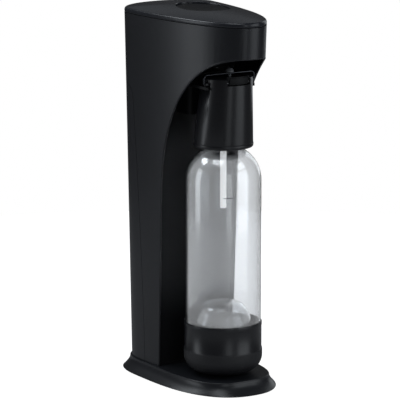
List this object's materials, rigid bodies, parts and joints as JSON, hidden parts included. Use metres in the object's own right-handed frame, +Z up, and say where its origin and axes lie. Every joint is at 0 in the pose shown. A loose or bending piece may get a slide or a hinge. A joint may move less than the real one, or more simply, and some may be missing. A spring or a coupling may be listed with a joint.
{
  "type": "soda carbonator",
  "caption": "Free-standing soda carbonator with a push-button gas dosing head, a removable rear cover and a clear bottle hung from a docked infuser.",
  "frame": {"origin": "centre of the underside, on the surface the feet stand on", "axes": "+Z up, front faces -Y, +X to the right seen from the front"},
  "size_m": [0.1284, 0.2087, 0.4147],
  "materials": {
    "body_plastic": "fine moulded grain",
    "panel_plastic": "fine moulded grain",
    "plinth_plastic": "fine moulded grain",
    "cap_plastic": "satin moulded",
    "button_plastic": "satin moulded",
    "infuser_plastic": "satin moulded",
    "inner_plastic": "moulded",
    "rubber": "moulded rubber",
    "red_rubber": "moulded silicone",
    "steel": "turned",
    "dark_steel": "black coated",
    "bail_steel": "drawn wire",
    "cast_zinc": "die cast",
    "brass": "turned",
    "cylinder_aluminium": "brushed",
    "white_plastic": "smooth",
    "grey_plastic": "smooth",
    "clear_plastic": "clear"
  },
  "bodies": {
    "machine": {"plinth": "plinth_plastic", "bottom_plate": "plinth_plastic", "plinth_screws": "steel", "rubber_feet": "rubber", "front_shell": "body_plastic", "front_panel": "panel_plastic", "top_cap": "cap_plastic", "chassis_deck": "dark_steel", "deck_screws": "steel", "valve_holder": "cast_zinc", "holder_seal": "rubber", "relief_valve": "brass", "gas_tube": "steel", "tube_nuts": "brass", "dock_block": "panel_plastic", "dock_screws": "steel", "dock_nozzle": "steel", "nozzle_seal": "rubber", "dock_fork": "dark_steel", "lever_bracket": "dark_steel", "lever_pin": "steel", "cylinder_cradle": "plinth_plastic", "button_spring": "steel"},
    "button": {"push_button": "button_plastic"},
    "lever": {"actuator_lever": "inner_plastic"},
    "pusher": {"valve_pusher": "steel"},
    "cover": {"rear_cover": "body_plastic"},
    "gas_cylinder": {"co2_cylinder": "cylinder_aluminium", "cylinder_valve": "brass"},
    "infuser": {"infuser_housing": "infuser_plastic", "infuser_rim": "infuser_plastic", "infuser_core": "inner_plastic", "infuser_gasket": "red_rubber", "infuser_top": "infuser_plastic", "release_pin": "steel", "dip_tube": "white_plastic"},
    "tab": {"release_tab": "button_plastic"},
    "knob": {"slow_release_knob": "grey_plastic"},
    "bail": {"bail_wire": "bail_steel"},
    "bottle": {"bottle": "clear_plastic", "base_cup": "infuser_plastic"}
  },
  "joints": [
    {"name": "button_press", "type": "slide", "parent": "machine", "child": "button", "axis": [0, 0, -1], "range_m": [0, 0.008], "stiffness_N_per_m": 400, "springref_m": -0.004, "deforming": ["button_spring"]},
    {"name": "lever_turn", "type": "hinge", "parent": "machine", "child": "lever", "pos_m": [0, 0.08, 0.388], "axis": [1, 0, 0], "range_deg": [0, 5.8]},
    {"name": "pusher_slide", "type": "slide", "parent": "machine", "child": "pusher", "axis": [0, 0, -1], "range_m": [0, 0.0027]},
    {"name": "cover_off", "type": "slide", "parent": "machine", "child": "cover", "axis": [0, 1, 0], "range_m": [0, 0.11]},
    {"name": "cylinder_turn", "type": "hinge", "parent": "machine", "child": "gas_cylinder", "pos_m": [0, 0.054, 0.35], "axis": [0, 0, -1], "range_deg": [0, 1440]},
    {"name": "infuser_off", "type": "slide", "parent": "machine", "child": "infuser", "axis": [0, -1, 0], "range_m": [0, 0.15]},
    {"name": "bottle_turn", "type": "hinge", "parent": "infuser", "child": "bottle", "pos_m": [0, -0.042, 0.285], "axis": [0, 0, -1], "range_deg": [0, 540]},
    {"name": "tab_press", "type": "hinge", "parent": "infuser", "child": "tab", "pos_m": [0, -0.0706, 0.3406], "axis": [-1, 0, 0], "range_deg": [0, 8], "stiffness_Nm_per_rad": 0.05, "springref_deg": -5.73},
    {"name": "knob_press", "type": "slide", "parent": "infuser", "child": "knob", "axis": [0, 0, -1], "range_m": [0, 0.002], "stiffness_N_per_m": 300, "springref_m": -0.003},
    {"name": "bail_swing", "type": "hinge", "parent": "infuser", "child": "bail", "pos_m": [0, -0.053, 0.338], "axis": [1, 0, 0], "range_deg": [0, 22]}
  ],
  "couplings": [
    {"joint": "lever_turn", "follows": "button_press", "rad_per_m": 12.5},
    {"joint": "pusher_slide", "follows": "button_press", "ratio": 0.325}
  ]
}
